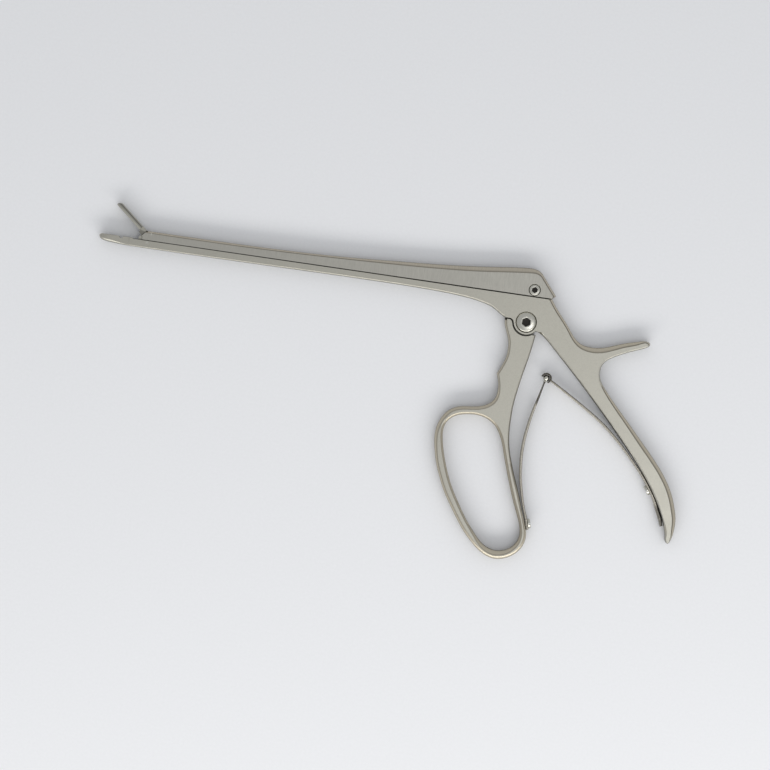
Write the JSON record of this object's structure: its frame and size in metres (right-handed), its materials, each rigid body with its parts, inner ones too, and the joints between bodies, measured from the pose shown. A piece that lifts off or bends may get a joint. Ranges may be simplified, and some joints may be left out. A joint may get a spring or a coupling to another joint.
{
  "type": "bone rongeur",
  "caption": "Slim stainless steel bone rongeur: long sliding shaft, hinged cup jaw, finger ring handle, palm handle with thumb spur, and paired leaf return springs.",
  "frame": {"origin": "on the main pivot screw's axis, on the flat side face the instrument lies on", "axes": "+X runs along the shaft to the rear (the jaws point to -X), +Y is up in use, towards the sliding shaft, +Z is the thickness, towards the screw heads; the instrument lies on its side"},
  "size_m": [0.2663, 0.13, 0.0063],
  "materials": {
    "satin_steel": "satin, finely brushed",
    "satin_steel_slide": "satin, brushed along the shaft",
    "screw_steel": "turned, semi-bright",
    "pin_steel": "ground",
    "spring_steel": "satin, slightly darker"
  },
  "bodies": {
    "frame": {"fixed_frame": "satin_steel", "main_pivot_screw": "screw_steel", "jaw_pivot_pin": "pin_steel", "rear_spring_screw": "screw_steel"},
    "front_handle": {"finger_ring_handle": "satin_steel", "front_spring_screw": "screw_steel"},
    "slide": {"sliding_shaft": "satin_steel_slide", "drive_screw": "screw_steel", "jaw_drive_pin": "pin_steel"},
    "jaw": {"upper_jaw": "satin_steel"},
    "front_spring": {"front_leaf_spring": "spring_steel", "spring_ball": "screw_steel"},
    "rear_spring": {"rear_leaf_spring": "spring_steel", "spring_socket": "spring_steel"}
  },
  "joints": [
    {"name": "handle_pivot", "type": "hinge", "parent": "frame", "child": "front_handle", "pos_m": [0, 0, 0.003], "axis": [0, 0, 1], "range_deg": [0, 10.97], "stiffness_Nm_per_rad": 1.2, "springref_deg": -5.73},
    {"name": "shaft_slide", "type": "slide", "parent": "frame", "child": "slide", "axis": [-1, 0, 0], "range_m": [0, 0.00277]},
    {"name": "jaw_hinge", "type": "hinge", "parent": "frame", "child": "jaw", "pos_m": [-0.1684, 0.0106, 0.003], "axis": [0, 0, 1], "range_deg": [0, 40.01]},
    {"name": "front_spring_flex", "type": "hinge", "parent": "front_handle", "child": "front_spring", "pos_m": [0.0092, -0.0775, 0.003], "axis": [0, 0, 1], "range_deg": [0, 2.3], "deforming": ["front_leaf_spring"]},
    {"name": "rear_spring_flex", "type": "hinge", "parent": "frame", "child": "rear_spring", "pos_m": [0.056, -0.0562, 0.003], "axis": [0, 0, 1], "range_deg": [-3.27, 0], "deforming": ["rear_leaf_spring"]}
  ],
  "couplings": [
    {"joint": "shaft_slide", "follows": "handle_pivot", "m_per_rad": 0.01445},
    {"joint": "jaw_hinge", "follows": "handle_pivot", "ratio": 3.6468},
    {"joint": "front_spring_flex", "follows": "handle_pivot", "ratio": 0.20765},
    {"joint": "rear_spring_flex", "follows": "handle_pivot", "ratio": -0.29599}
  ]
}
